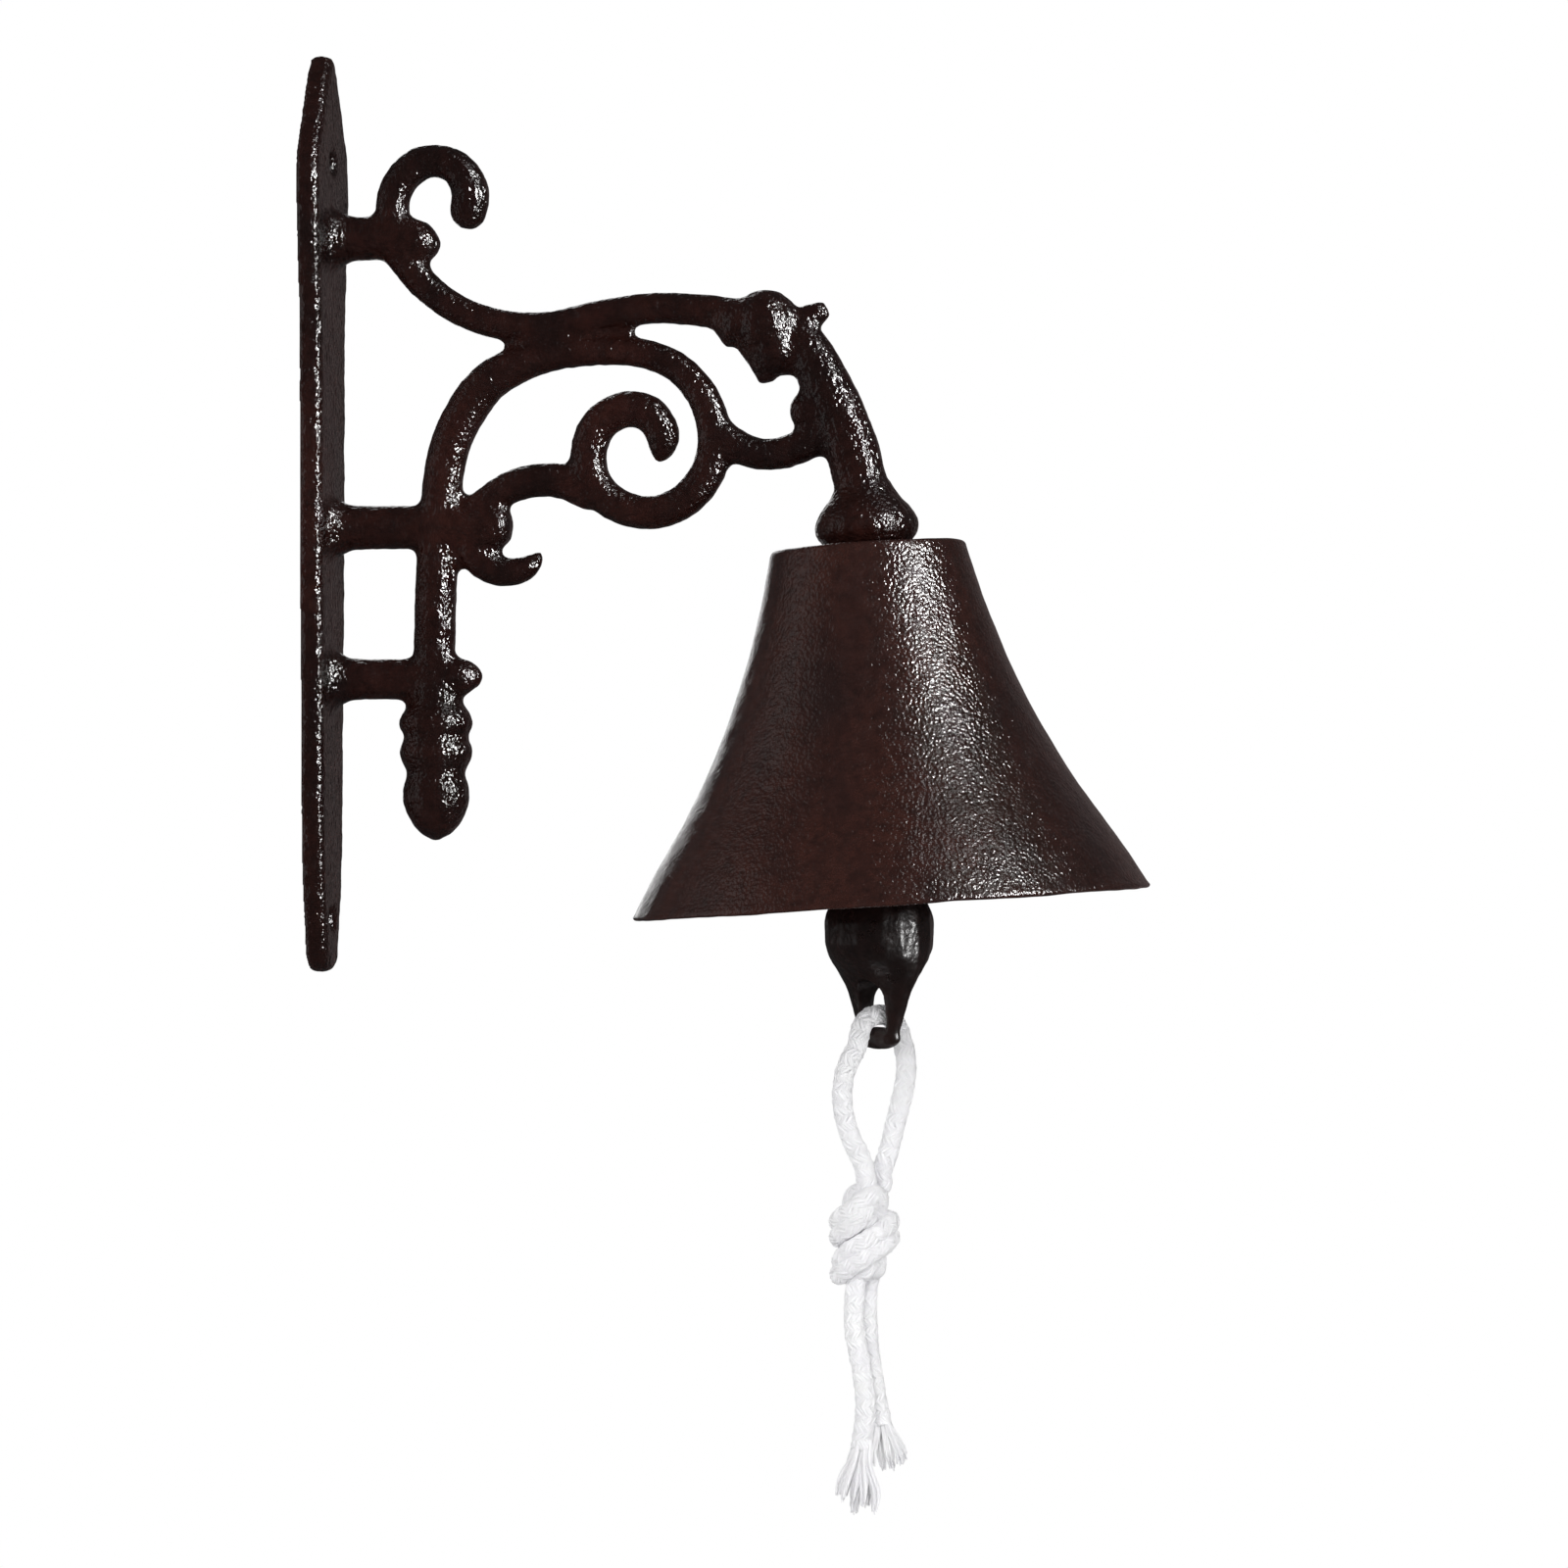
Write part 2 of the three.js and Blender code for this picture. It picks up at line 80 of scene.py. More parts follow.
# From the top of the clapper's web down the near strand, and down the far strand.
NEAR_STRAND = [
    (0.1437, 0, -0.1247),
    (0.1414, -0.0031, -0.1256),
    (0.1398, -0.0053, -0.1282),
    (0.139, -0.0065, -0.1325),
    (0.1372, -0.0067, -0.136),
    (0.1357, -0.0059, -0.1405),
    (0.1352, -0.0048, -0.1455),
    (0.1358, -0.0036, -0.151),
    (0.1374, -0.0025, -0.156),
    (0.1394, -0.0012, -0.1605),
    (0.1403, -0.0002, -0.164),
    (0.1402, 0.0003, -0.1676),
]
FAR_STRAND = [
    (0.1437, 0, -0.1247),
    (0.146, 0.0031, -0.1256),
    (0.1476, 0.0053, -0.1282),
    (0.1487, 0.0065, -0.1325),
    (0.1495, 0.0066, -0.136),
    (0.1494, 0.0063, -0.1405),
    (0.1485, 0.0058, -0.1455),
    (0.1472, 0.0053, -0.151),
    (0.146, 0.0052, -0.156),
    (0.1448, 0.0053, -0.1605),
    (0.1435, 0.0056, -0.164),
    (0.1432, 0.0061, -0.1676),
]
LEFT_TAIL = [
    (0.1381, 0.0007, -0.1894),
    (0.1374, 0.0004, -0.196),
    (0.1375, 0.0003, -0.203),
    (0.1393, 0.0006, -0.213),
    (0.1402, 0.0004, -0.222),
    (0.1391, -0.0005, -0.232),
]
RIGHT_TAIL = [
    (0.1406, 0.0059, -0.1894),
    (0.1399, 0.0056, -0.196),
    (0.14, 0.0057, -0.203),
    (0.141, 0.006, -0.213),
    (0.1424, 0.0057, -0.2205),
    (0.1436, 0.0054, -0.2265),
]


# ---- meshes ----


def piece_from(name, vertices, faces, uvs=None):
    """A smooth-shaded object from points and faces, with a UV for each corner if they are given."""
    mesh = bpy.data.meshes.new(name)
    mesh.from_pydata([tuple(v) for v in vertices], [], faces)
    if uvs is not None:
        layer = mesh.uv_layers.new(name="along")
        layer.data.foreach_set("uv", np.asarray(uvs, np.float32).ravel())
    mesh.shade_smooth()
    obj = bpy.data.objects.new(name, mesh)
    bpy.context.scene.collection.objects.link(obj)
    return obj


def add_modifier(obj, kind, **settings):
    modifier = obj.modifiers.new(kind.lower(), kind)
    for key, value in settings.items():
        setattr(modifier, key, value)
    return modifier


def apply_modifiers(obj):
    """Bakes the modifiers into the object's own mesh."""
    evaluated = obj.evaluated_get(bpy.context.evaluated_depsgraph_get())
    mesh = bpy.data.meshes.new_from_object(evaluated)
    obj.modifiers.clear()
    obj.data = mesh
    return obj


def vertex_array(obj):
    points = np.zeros(len(obj.data.vertices) * 3, np.float32)
    obj.data.vertices.foreach_get("co", points)
    return points.reshape(-1, 3).astype(float)


def normal_array(obj):
    normals = np.zeros(len(obj.data.vertices) * 3, np.float32)
    obj.data.vertex_normals.foreach_get("vector", normals)
    return normals.reshape(-1, 3).astype(float)


def set_vertices(obj, points):
    obj.data.vertices.foreach_set("co", points.astype(np.float32).ravel())
    obj.data.update()


def waves(points, size, seed, count=24):
    """Smooth noise from -1 to 1 or so: a sum of waves about `size` long, in random directions."""
    random = np.random.default_rng(seed)
    directions = random.normal(size=(count, 3))
    directions /= np.linalg.norm(directions, axis=1)[:, None]
    lengths = size * random.uniform(0.7, 1.5, count)
    phases = random.uniform(0, 2 * math.pi, count)
    total = np.zeros(len(points))
    for direction, length, phase in zip(directions, lengths, phases):
        total += np.sin(points @ direction * (2 * math.pi / length) + phase)
    return total * math.sqrt(2 / count)


# ---- castings ----


def casting(name, node, voxel, fillet, smoothing, skin):
    """A CAD node as it comes from a sand mould: hollow corners filled, edges soft and skin uneven.

    Growing by `fillet` and shrinking again closes each inside corner to about that radius. `skin` is
    the height of its lumps."""
    obj = bpy.data.objects.new(name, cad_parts[node].data.copy())
    bpy.context.scene.collection.objects.link(obj)
    for growth in (fillet, -fillet):
        add_modifier(obj, "REMESH", mode="VOXEL", voxel_size=voxel)
        add_modifier(obj, "SMOOTH", factor=0.5, iterations=2)
        add_modifier(obj, "DISPLACE", strength=growth, mid_level=0)
    add_modifier(obj, "REMESH", mode="VOXEL", voxel_size=voxel, use_smooth_shade=True)
    add_modifier(obj, "SMOOTH", factor=0.5, iterations=smoothing)
    apply_modifiers(obj)
    points = vertex_array(obj)
    lumps = 0.6 * waves(points, 2.6 * MM, 1) + 0.7 * waves(points, 9 * MM, 2)
    set_vertices(obj, points + normal_array(obj) * (lumps * skin)[:, None])
    obj.data.materials.clear()
    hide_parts(node)
    return obj


def flatten_back(obj):
    """Presses the wall face flat again after the casting's skin was made."""
    near_wall = 0.4 * MM
    points = vertex_array(obj)
    points[:, 0] = np.where(points[:, 0] < near_wall, 0, points[:, 0])
    set_vertices(obj, points)


def bell_frame():
    return Matrix.Translation(CROWN) @ Matrix.Rotation(-BELL_TILT, 4, "Y")


def arc(centre, radius, start, end, steps):
    """Points of an arc in the profile's plane, with angles in degrees from +r towards +z."""
    angles = np.radians(np.linspace(start, end, steps))
    return [(centre[0] + radius * math.cos(a), centre[1] + radius * math.sin(a)) for a in angles]


def bell_profile():
    """The closed outline of the bell's wall as (radius, z): out over the crown, down the flare, round
    the rim, up the inside and back along the roof."""
    flare = np.array(BELL_FLARE) * MM
    depth = np.linspace(flare[0, 1], BELL_HEIGHT, 64)
    radius = spline(flare[:, 1], flare[:, 0], depth)
    outside = list(zip(radius, -depth))
    rim_outer = (radius[-1] - 0.75 * MM, -BELL_HEIGHT + 0.4 * MM)
    rim_inner = (radius[-1] - 2.3 * MM, -BELL_HEIGHT + 0.95 * MM)
    inside = [(r - BELL_WALL, z) for r, z in outside[6:-3]][::-1]
    shoulder = 1.3 * MM
    roof = [
        (20.2 * MM, -BELL_WALL - 1.6 * MM),
        (18.6 * MM, -BELL_WALL),
        (BOLT_HOLE_RADIUS, -BELL_WALL),
    ]
    return (
        [(BOLT_HOLE_RADIUS, 0), (12 * MM, 0)]
        + arc((radius[0] - shoulder, -shoulder), shoulder, 90, 15, 6)
        + outside[1:-1]
        + arc(rim_outer, 0.7 * MM, 0, -80, 6)
        + arc(rim_inner, 0.9 * MM, -110, -175, 4)
        + inside
        + roof
    )


def spline(x, y, at):
    """A natural cubic through (x, y), read at `at`."""
    n = len(x)
    gap = np.diff(x)
    matrix = np.eye(n)
    right = np.zeros(n)
    for i in range(1, n - 1):
        matrix[i, i - 1 : i + 2] = gap[i - 1], 2 * (gap[i - 1] + gap[i]), gap[i]
        right[i] = 6 * ((y[i + 1] - y[i]) / gap[i] - (y[i] - y[i - 1]) / gap[i - 1])
    curve = np.linalg.solve(matrix, right)
    i = np.clip(np.searchsorted(x, at) - 1, 0, n - 2)
    a, b = x[i + 1] - at, at - x[i]
    h = gap[i]
    cubic = (curve[i] * a**3 + curve[i + 1] * b**3) / (6 * h)
    return cubic + (y[i] / h - curve[i] * h / 6) * a + (y[i + 1] / h - curve[i + 1] * h / 6) * b


def turned(name, profile, segments):
    """A closed (radius, z) outline turned about the z axis."""
    turns = np.linspace(0, 2 * math.pi, segments, endpoint=False)
    vertices = [(r * math.cos(t), r * math.sin(t), z) for t in turns for r, z in profile]
    rings = len(profile)
    faces = [
        (
            s * rings + i,
            (s + 1) % segments * rings + i,
            (s + 1) % segments * rings + (i + 1) % rings,
            s * rings + (i + 1) % rings,
        )
        for s in range(segments)
        for i in range(rings)
    ]
    return piece_from(name, vertices, faces)


def bell():
    """The cast bell: a thin wall with a soft rim, a little uneven all over."""
    obj = turned("bell_casting", bell_profile(), 240)
    obj.data.transform(bell_frame())
    make_faces_point_out(obj)
    points = vertex_array(obj)
    uneven = 0.08 * waves(points, 34 * MM, 3) + 0.035 * waves(points, 7 * MM, 4)
    set_vertices(obj, points + normal_array(obj) * (uneven * MM)[:, None])
    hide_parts("bell")
    return obj


def make_faces_point_out(obj):
    shape = bmesh.new()
    shape.from_mesh(obj.data)
    bmesh.ops.recalc_face_normals(shape, faces=shape.faces)
    shape.to_mesh(obj.data)
    shape.free()
    obj.data.shade_smooth()


# ---- cord ----


def curve_through(points, step):
    """Points about `step` apart on a smooth curve through the given ones."""
    p = np.array(points, float)
    p = np.vstack([2 * p[0] - p[1], p, 2 * p[-1] - p[-2]])
    t = np.linspace(0, 1, 12, endpoint=False)[:, None]
    parts = []
    for a, b, c, d in zip(p[:-3], p[1:-2], p[2:-1], p[3:]):
        square, cube = 2 * a - 5 * b + 4 * c - d, 3 * b - a - 3 * c + d
        parts.append(0.5 * (2 * b + (c - a) * t + square * t**2 + cube * t**3))
    return evenly(np.vstack(parts + [p[-2:-1]]), step)


def evenly(line, step):
    """The same line with points `step` apart."""
    along = np.concatenate([[0], np.cumsum(np.linalg.norm(np.diff(line, axis=0), axis=1))])
    at = np.linspace(0, along[-1], round(along[-1] / step) + 1)
    return np.stack([np.interp(at, along, line[:, k]) for k in range(3)], axis=1)


def knot_route(side):
    """One of the two strands through the overhand knot, from its top to its bottom.

    The pair of strands goes down the core, turns out, climbs round the core once and a bit, turns in at
    the top and goes down the core again. `side` is 1 or -1, for the two strands of the pair."""
    core_radius, wrap_radius, half_width = 2.2 * MM, 6.4 * MM, 1.95 * MM
    core_down, core_out = math.radians(150), math.radians(330)
    stations = [  # (radius, angle, height in mm, share of the strands' offset that is level)
        (core_radius, core_down, 8.5, 1),
        (core_radius, core_down, 4, 1),
        (core_radius, core_down, -1, 1),
        (core_radius + 0.5 * MM, core_down + 0.15, -5.6, 1),
        (4.6 * MM, core_down + 0.45, -7.9, 0.75),
        (6.3 * MM, core_down + 0.95, -7.4, 0.35),
    ]
    first, last, turns = core_down + 1.5, core_out + 2 * math.pi - 1.35, 9
    for i in range(turns):
        share = i / (turns - 1)
        stations.append((wrap_radius, first + (last - first) * share, -5.4 + 10.2 * share, 0))
    stations += [
        (6.3 * MM, core_out + 2 * math.pi - 0.85, 6.9, 0.35),
        (4.6 * MM, core_out + 2 * math.pi - 0.4, 7.4, 0.75),
        (core_radius + 0.5 * MM, core_out + 2 * math.pi - 0.1, 5, 1),
        (core_radius, core_out, 0, 1),
        (core_radius, core_out, -5, 1),
        (core_radius, core_out, -8.8, 1),
    ]
    route = []
    for radius, angle, height, level in stations:
        outward = np.array([math.cos(angle), math.sin(angle), 0])
        round_it = np.array([-math.sin(angle), math.cos(angle), 0])
        offset = side * half_width * (level * round_it + math.sqrt(1 - level**2) * np.array([0, 0, 1]))
        rise = height * MM + (1 - level) * KNOT_TILT * radius * outward[0]
        route.append(np.array(KNOT_CENTRE) + radius * outward + np.array([0, 0, rise]) + offset)
    return route


def frames_along(line):
    """Unit tangents and two cross directions that turn as little as they can along a line."""
    tangent = np.gradient(line, axis=0)
    tangent /= np.linalg.norm(tangent, axis=1)[:, None]
    across = np.zeros_like(line)
    last = np.cross(tangent[0], [0.3, 0.9, 0.1])
    for i, t in enumerate(tangent):
        last = last - t * (last @ t)
        last /= np.linalg.norm(last)
        across[i] = last
    return tangent, across, np.cross(tangent, across)


class Yarns:
    """Gathers many thin tubes into one mesh, with a UV that runs along and round each."""

    def __init__(self, sides=6):
        self.sides = sides
        self.vertices, self.faces, self.uvs = [], [], []

    def add(self, line, radii, flat=None, flatness=1.0):
        """A tube along a line, `flatness` times as thick along the direction `flat` at each point."""
        tangent, across, up = frames_along(line)
        if flat is not None:
            up = flat - tangent * (flat * tangent).sum(1)[:, None]
            up /= np.linalg.norm(up, axis=1)[:, None]
            across = np.cross(up, tangent)
        first, sides = len(self.vertices), self.sides
        turns = 2 * math.pi * np.arange(sides) / sides
        for p, a, u, r in zip(line, across, up, radii):
            for turn in turns:
                self.vertices.append(p + r * (math.cos(turn) * a + flatness * math.sin(turn) * u))
        along = np.concatenate([[0], np.cumsum(np.linalg.norm(np.diff(line, axis=0), axis=1))]) / MM
        for i in range(len(line) - 1):
            for k in range(sides):
                low, high = first + i * sides, first + (i + 1) * sides
                self.faces.append((low + k, low + (k + 1) % sides, high + (k + 1) % sides, high + k))
                v0, v1 = k / sides, (k + 1) / sides
                self.uvs += [(along[i], v0), (along[i], v1), (along[i + 1], v1), (along[i + 1], v0)]
        for start, order in ((first, -1), (len(self.vertices) - sides, 1)):
            self.faces.append(tuple(start + k for k in range(sides))[::order])
            self.uvs += [(0, 0)] * sides

    def piece(self, name):
        return piece_from(name, self.vertices, self.faces, self.uvs)


def braid(name, line, width, phase):
    """A braided cord: bands of parallel yarns wound both ways, each passing over and under in turn.

    `width` is the cord's diameter at each point of the line, and `phase` turns the whole braid."""
    yarns = Yarns(sides=5)
    _, across, up = frames_along(line)
    along = np.concatenate([[0], np.cumsum(np.linalg.norm(np.diff(line, axis=0), axis=1))])
    turn = 2 * math.pi * along / BRAID_PITCH
    half = CARRIERS // 2
    yarn, core = 0.1 * width, 0.42 * width  # radii of one yarn and of the filling
    spread = 0.36  # angle between the yarns of one band
    lift = 0.025 * width * np.cos(half * turn - math.pi / 2)
    random = np.random.default_rng(round(phase * 100))
    for way in (1, -1):
        for carrier in range(half):
            for end in range(ENDS):
                offset = (end - (ENDS - 1) / 2) * spread
                angle = way * turn + 2 * math.pi * carrier / half + (way < 0) * math.pi / half + phase
                wander = 0.07 * waves(along[:, None] * [1, 0, 0], 6 * MM, random.integers(1e6))
                angle = angle + offset + wander
                outward = np.cos(angle)[:, None] * across + np.sin(angle)[:, None] * up
                loose = 0.015 * width * waves(along[:, None] * [1, 0, 0], 5 * MM, random.integers(1e6))
                distance = width / 2 - yarn + way * lift + loose
                thick = yarn * random.uniform(0.92, 1.12)
                yarns.add(line + outward * distance[:, None], thick, outward, 0.7)
    yarns.add(line, core)
    return yarns.piece(name)


def fray(name, line, seed, tufts, reach, spread):
    """The yarns of a cut end, opened out into tufts of `PLIES` fine plies that part near their tips.

    `reach` is how far they go past the end, and `spread` how far the outer ones lean out."""
    root = 3 * MM  # length of each tuft that is hidden in the cord
    end, before = line[-1], line[-6]
    down = (end - before) / np.linalg.norm(end - before)
    random = np.random.default_rng(seed)
    _, across, up = frames_along(line)
    yarns = Yarns(sides=6)
    for i in range(tufts):
        angle = 2 * math.pi * (i * 0.382 + random.uniform(-0.04, 0.04))
        rim = math.sqrt((i + 0.5) / tufts)
        out = math.cos(angle) * across[-1] + math.sin(angle) * up[-1]
        start = end - down * root + out * rim * 0.3 * CORD_DIAMETER
        long = (reach + root) * random.uniform(0.75, 1.0)
        lean = out * rim * spread * random.uniform(0.7, 1.05)
        sway = random.normal(size=3) * 0.7 * MM
        for _ in range(PLIES):
            aside = random.normal(size=3) * 0.3 * MM
            short = down * random.uniform(0, 0.2) * long
            route = [
                start + aside,
                start + down * long * 0.35 + lean * 0.3 + 1.1 * aside,
                start + down * long * 0.7 + lean * 0.75 + sway + 1.3 * aside,
                start + down * long + lean * 0.9 + sway + 0.8 * aside - short,
            ]
            tuft = curve_through(route, 0.8 * MM)
            thick = np.interp(np.linspace(0, 1, len(tuft)), [0, 0.7, 1], [0.42, 0.4, 0.22]) * MM
            yarns.add(tuft, thick)
    return yarns.piece(name)


def cord(name, strand, side, tail, phase):
    """Half of the rope, and its centreline: down one strand, through the knot and down one tail."""
    step = 0.6 * MM
    line = curve_through([*strand, *knot_route(side), *tail], step)
    height = line[:, 2]
    near_knot = np.clip(1 - (np.abs(height - KNOT_CENTRE.z) - 8.5 * MM) / (4 * MM), 0, 1)
    width = CORD_DIAMETER * (1 - (1 - KNOT_SQUEEZE) * near_knot)
    return braid(name, line, width, phase), line


# ---- hardware ----


def bolt_thread():
    """The thread on the bolt between the nut and the eye: one ridge wound round the shank."""
    ridge_radius = 0.34 * MM
    turns = (THREAD_END - THREAD_START) / THREAD_PITCH
    turn = np.linspace(0, 2 * math.pi * turns, round(turns * 32))
    depth = np.linspace(THREAD_START, THREAD_END, len(turn))
    ridge = np.stack([THREAD_RADIUS * np.cos(turn), THREAD_RADIUS * np.sin(turn), -depth], axis=1)
    tubes = Yarns(sides=6)
    tubes.add(ridge, ridge_radius * np.interp(turn, [0, 3, turn[-1] - 3, turn[-1]], [0.3, 1, 1, 0.3]))
    thread = tubes.piece("bolt_thread")
    thread.data.transform(bell_frame())
    return thread


# ---- materials ----


class Shader:
    """A node material with one Principled shader and short calls to add nodes to it."""

    def __init__(self, name):
        self.material = bpy.data.materials.new(name)
        self.material.use_nodes = True
        self.nodes, self.links = self.material.node_tree.nodes, self.material.node_tree.links
        self.principled = self.nodes["Principled BSDF"]
        self.coordinates = self.nodes.new("ShaderNodeTexCoord")

    def set(self, **values):
        for key, value in values.items():
            self.principled.inputs[key.replace("_", " ")].default_value = value

    def node(self, kind, inputs=(), **settings):
        made = self.nodes.new("ShaderNode" + kind)
        for key, value in settings.items():
            setattr(made, key, value)
        for key, value in dict(inputs).items():
            if isinstance(value, bpy.types.NodeSocket):
                self.links.new(value, made.inputs[key])
            else:
                made.inputs[key].default_value = value
        return made

    def noise(self, size, detail=3.0, roughness=0.55, vector=None):
        vector = vector or self.coordinates.outputs["Object"]
        values = {"Vector": vector, "Scale": 1 / size, "Detail": detail, "Roughness": roughness}
        return self.node("TexNoise", values).outputs["Fac"]

    def ramp(self, factor, *stops):
        """Maps a 0 to 1 factor through (position, colour or value) stops."""
        made = self.node("ValToRGB", {"Fac": factor})
        points = made.color_ramp.elements
        while len(points) < len(stops):
            points.new(0.5)
        for point, (position, colour) in zip(points, stops):
            point.position = position
            point.color = (*colour, 1) if isinstance(colour, tuple) else (colour, colour, colour, 1)
        return made.outputs["Color"]

    def mix(self, factor, a, b):
        """Goes from colour a to colour b as the factor goes from 0 to 1."""
        made = self.node("Mix", data_type="RGBA")
        for socket, value in ((made.inputs[0], factor), (made.inputs[6], a), (made.inputs[7], b)):
            if isinstance(value, bpy.types.NodeSocket):
                self.links.new(value, socket)
            else:
                socket.default_value = (*value, 1) if isinstance(value, tuple) else value
        return made.outputs[2]

    def bump(self, height, depth, normal=None):
        values = {"Height": height, "Distance": depth, "Strength": 1.0}
        if normal is not None:
            values["Normal"] = normal
        return self.node("Bump", values).outputs["Normal"]

    def join(self, output, socket):
        self.links.new(output, self.principled.inputs[socket])


def iron(name, dark, warm, depth, lumps, roughness, pebble=1.05 * MM):
    """Sand-cast iron under glossy brown paint: finely pebbled, with warmer patches and rubbed edges.

    `pebble` and `depth` are the size and height of the grain, and `lumps` the height of the lumps
    under it."""
    shader = Shader(name)
    position = shader.coordinates.outputs["Object"]
    tall = shader.node("Mapping", {"Vector": position, "Scale": (1, 1, 0.45)}).outputs["Vector"]
    patches = shader.ramp(shader.noise(24 * MM, 5, 0.62, vector=tall), (0.36, 0.0), (0.66, 1.0))
    mottle = shader.ramp(shader.noise(2.4 * MM, 4, 0.6), (0.4, 0.0), (0.8, 0.8))
    colour = shader.mix(patches, dark, warm)
    colour = shader.mix(mottle, colour, tuple(0.5 * c for c in dark))
    edges = shader.ramp(shader.node("NewGeometry").outputs["Pointiness"], (0.5, 0.0), (0.6, 0.2))
    colour = shader.mix(edges, colour, tuple(1.7 * c for c in warm))
    shader.join(colour, "Base Color")
    shine = shader.ramp(shader.noise(5 * MM, 4), (0.35, roughness - 0.04), (0.7, roughness + 0.1))
    shader.join(shine, "Roughness")
    coarse = shader.bump(shader.noise(4 * pebble, 2, 0.5), lumps)
    shader.join(shader.bump(shader.noise(pebble, 1.5, 0.45), depth, coarse), "Normal")
    shader.set(Metallic=0.0, IOR=1.52)
    return shader.material


def cotton(name):
    """Soft white cotton yarn with fibres along it, and painted shade in the gaps between the fibres."""
    shader = Shader(name)
    along = shader.node("Mapping", {"Vector": shader.coordinates.outputs["UV"], "Scale": (0.35, 9, 1)})
    fibres = shader.noise(1.0, 4, 0.6, vector=along.outputs["Vector"])
    clouds = shader.noise(9 * MM, 3)
    tint = shader.ramp(clouds, (0.35, (0.88, 0.875, 0.9)), (0.7, (0.95, 0.95, 0.955)))
    # Painted shade: where the fibre noise is low, between the fibres, the white is mixed towards a
    # darker lavender grey.
    fibre_gap_shade = shader.ramp(fibres, (0.3, 0.25), (0.6, 0.0))
    shader.join(shader.mix(fibre_gap_shade, tint, (0.78, 0.76, 0.8)), "Base Color")
    shader.join(shader.bump(fibres, 0.25 * MM), "Normal")
    shader.set(Roughness=0.92, Sheen_Weight=0.35, Sheen_Roughness=0.5, Subsurface_Weight=0.25)
    shader.set(Subsurface_Scale=0.001, Subsurface_Radius=(1, 1, 1))
    return shader.material


def steel(name, colour, roughness):
    """Dull plated steel with fine scratches and grey clouding."""
    shader = Shader(name)
    dull = tuple(0.6 * c for c in colour)
    shader.join(shader.ramp(shader.noise(3 * MM, 5, 0.65), (0.3, dull), (0.7, colour)), "Base Color")
    shine = shader.ramp(shader.noise(1.2 * MM, 4), (0.3, roughness - 0.1), (0.7, roughness + 0.15))
    shader.join(shine, "Roughness")
    shader.join(shader.bump(shader.noise(0.35 * MM, 3), 0.02 * MM), "Normal")
    shader.set(Metallic=1.0)
    return shader.material


def pale_floor(name):
    """Matt near-white, very slightly clouded."""
    shader = Shader(name)
    shader.join(shader.ramp(shader.noise(0.2, 2), (0.3, 0.86), (0.7, 0.88)), "Base Color")
    shader.set(Roughness=0.8)
    return shader.material


def dress(obj, material):
    obj.data.materials.clear()
    obj.data.materials.append(material)
    return obj


# ---- studio ----


def make_camera():
    camera = bpy.data.objects.new("camera", bpy.data.cameras.new("camera"))
    bpy.context.scene.collection.objects.link(camera)
    camera.data.sensor_width, camera.data.lens = SENSOR_WIDTH, LENS
    level = Vector((-math.sin(CAMERA_TURN), math.cos(CAMERA_TURN), 0))
    camera.location = CAMERA_TARGET - CAMERA_DISTANCE * level
    looking = level + Vector((0, 0, math.tan(CAMERA_PITCH)))
    camera.rotation_euler = looking.to_track_quat("-Z", "Y").to_euler()
    bpy.context.scene.camera = camera


def softbox(name, turn, height, distance, size, power, colour=(1, 1, 1)):
    """A rectangular light, `turn` degrees round from straight in front, aimed at the object's middle."""
    light = bpy.data.objects.new(name, bpy.data.lights.new(name, "AREA"))
    bpy.context.scene.collection.objects.link(light)
    light.data.shape = "RECTANGLE"
    light.data.size, light.data.size_y = size
    light.data.energy, light.data.color = power, colour
    middle = Vector((0.1, 0, -0.05))
    angle = math.radians(turn)
    light.location = middle + Vector((distance * math.sin(angle), -distance * math.cos(angle), height))
    light.rotation_euler = (middle - light.location).to_track_quat("-Z", "Y").to_euler()
    return light


def make_studio():
    """White all round for the camera and a dim room for reflections.

    The gloss comes from a narrow key light on the right and faint soft sheens, which don't light the
    matt surfaces. Those have wide fills, which leave no reflections, and neither does the floor."""
    world = bpy.data.worlds.new("studio")
    bpy.context.scene.world = world
    world.use_nodes = True
    nodes, links = world.node_tree.nodes, world.node_tree.links
    background = nodes["Background"]
    seen = nodes.new("ShaderNodeLightPath").outputs["Is Camera Ray"]
    strength = nodes.new("ShaderNodeMapRange")
    strength.inputs["To Min"].default_value, strength.inputs["To Max"].default_value = 0.05, 1.0
    links.new(seen, strength.inputs["Value"])
    links.new(strength.outputs["Result"], background.inputs["Strength"])
    background.inputs["Color"].default_value = (1, 1, 1, 1)

    # name, turn, height, distance, size, power
    for light in (
        softbox("key", 64, 0.3, 1.1, (0.15, 0.8), 34),
        softbox("high_key", 68, 1.0, 0.75, (0.3, 0.5), 1.8),
        softbox("left_sheen", -79, 0.1, 1.3, (0.9, 1.8), 1.9),
        softbox("back_sheen", 200, 0.4, 1.2, (0.3, 0.9), 1.3),
        softbox("edge_sheen", 166, 0.0, 1.2, (0.7, 1.6), 0.36, colour=(1, 0.72, 0.7)),
    ):
        light.visible_diffuse = False
    for light in (
        softbox("right_fill", 55, 0.4, 1.3, (1.2, 1.2), 11),
        softbox("front_fill", 0, 0.4, 1.3, (1.4, 1.2), 16),
        softbox("left_fill", -80, 0.0, 1.3, (1.2, 1.2), 9),
        softbox("back_fill", 190, 0.3, 1.3, (1.4, 1.2), 14),
    ):
        light.visible_glossy = False
    bpy.context.scene.view_settings.view_transform = "Standard"

    place = (0.1, 0, -0.4)
    bpy.ops.mesh.primitive_circle_add(vertices=128, radius=0.8, fill_type="NGON", location=place)
    floor = bpy.context.object
    floor.name = "floor"
    floor.visible_glossy = False
    dress(floor, pale_floor("floor"))


# ---- the object ----

make_camera()

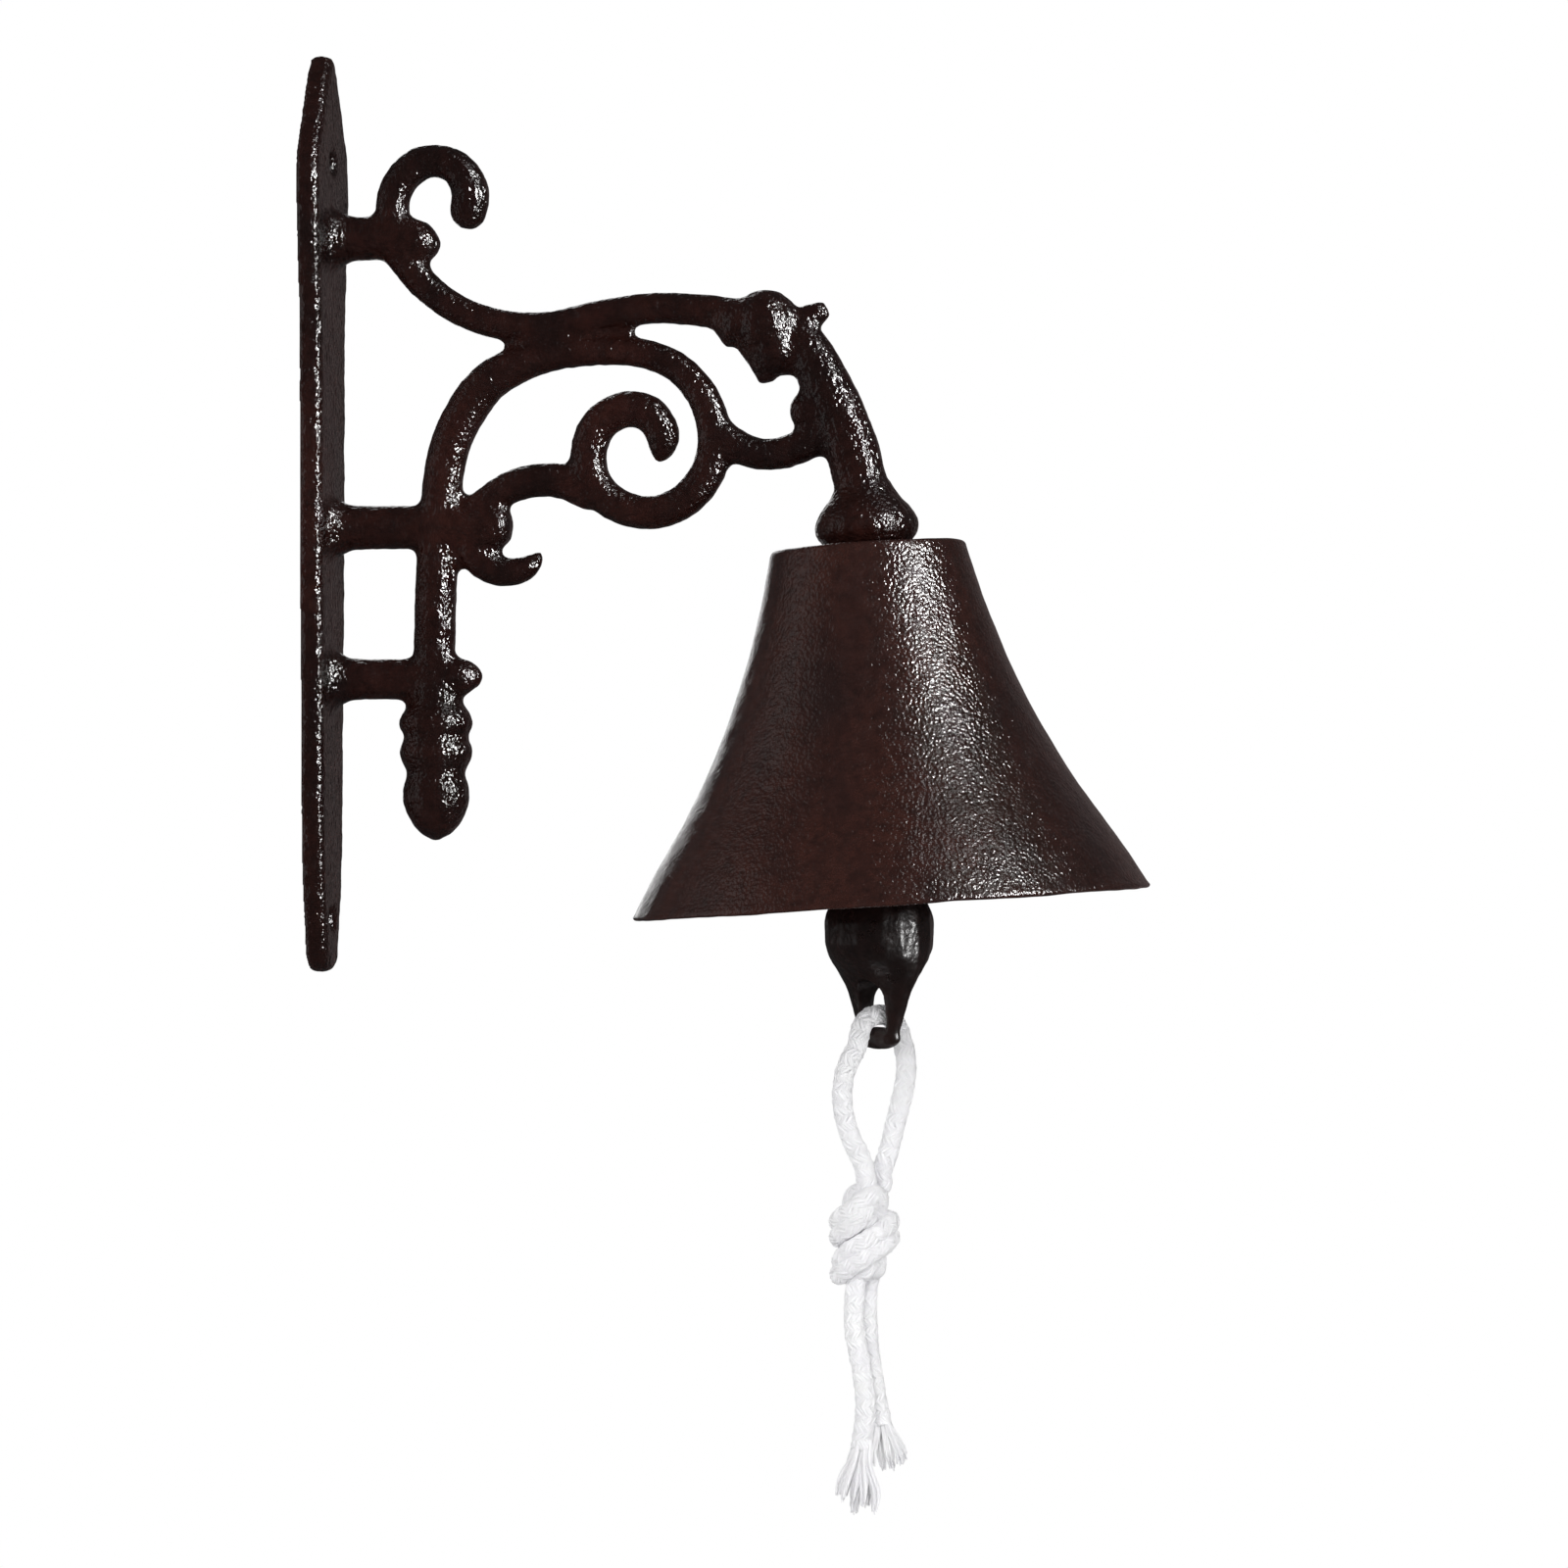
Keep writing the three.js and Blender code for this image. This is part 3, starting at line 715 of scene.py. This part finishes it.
bracket_iron = iron(
    "bracket_iron",
    dark=(0.0068, 0.0027, 0.0024),
    warm=(0.022, 0.0066, 0.005),
    depth=0.55 * MM,
    lumps=0.25 * MM,
    roughness=0.13,
)
bell_iron = iron(
    "bell_iron",
    dark=(0.0165, 0.008, 0.0073),
    warm=(0.033, 0.0115, 0.0088),
    depth=0.36 * MM,
    lumps=0.1 * MM,
    roughness=0.13,
    pebble=0.85 * MM,
)
clapper_iron = iron(
    "clapper_iron",
    dark=(0.0066, 0.0036, 0.0033),
    warm=(0.0165, 0.0056, 0.0045),
    depth=0.12 * MM,
    lumps=0.12 * MM,
    roughness=0.3,
)
zinc = steel("zinc", (0.52, 0.52, 0.53), 0.38)
spring_steel = steel("spring_steel", (0.2, 0.2, 0.21), 0.4)
white_cotton = cotton("white_cotton")

near_cord, near_line = cord("near_cord", NEAR_STRAND, 1, RIGHT_TAIL, 0.4)
far_cord, far_line = cord("far_cord", FAR_STRAND, -1, LEFT_TAIL, 1.1)
near_fray = fray("near_cord_fray", near_line, seed=5, tufts=9, reach=12.5 * MM, spread=4.4 * MM)
far_fray = fray("far_cord_fray", far_line, seed=8, tufts=12, reach=16 * MM, spread=5.2 * MM)
for piece in (near_cord, far_cord, near_fray, far_fray):
    dress(piece, white_cotton)
    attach(piece, "cord")
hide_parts("cord_loop", "cord_tail_right")
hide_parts("cord_knot", "cord_tail_left")

bracket = casting(
    "bracket_casting", "wall_bracket", voxel=0.68 * MM, fillet=0.85 * MM, smoothing=2, skin=0.06 * MM
)
flatten_back(bracket)
dress(bracket, bracket_iron)
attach(bracket, "bracket")

bell_piece = bell()
dress(bell_piece, bell_iron)
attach(bell_piece, "bracket")

clapper = casting(
    "clapper_casting", "clapper", voxel=0.4 * MM, fillet=0.8 * MM, smoothing=3, skin=0.04 * MM
)
dress(clapper, clapper_iron)
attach(clapper, "clapper")

for node in ("eye_bolt", "clapper_hook"):
    rod = dress(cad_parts[node], zinc)
    add_modifier(rod, "REMESH", mode="VOXEL", voxel_size=0.2 * MM, use_smooth_shade=True)
    add_modifier(rod, "SMOOTH", factor=0.5, iterations=4)
for node, material in (("crown_washer", zinc), ("lock_nut", zinc), ("spring_washer", spring_steel)):
    ring = dress(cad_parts[node], material)
    add_modifier(ring, "BEVEL", width=0.25 * MM, segments=3, limit_method="ANGLE")
thread = bolt_thread()
dress(thread, zinc)
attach(thread, "bracket")

make_studio()
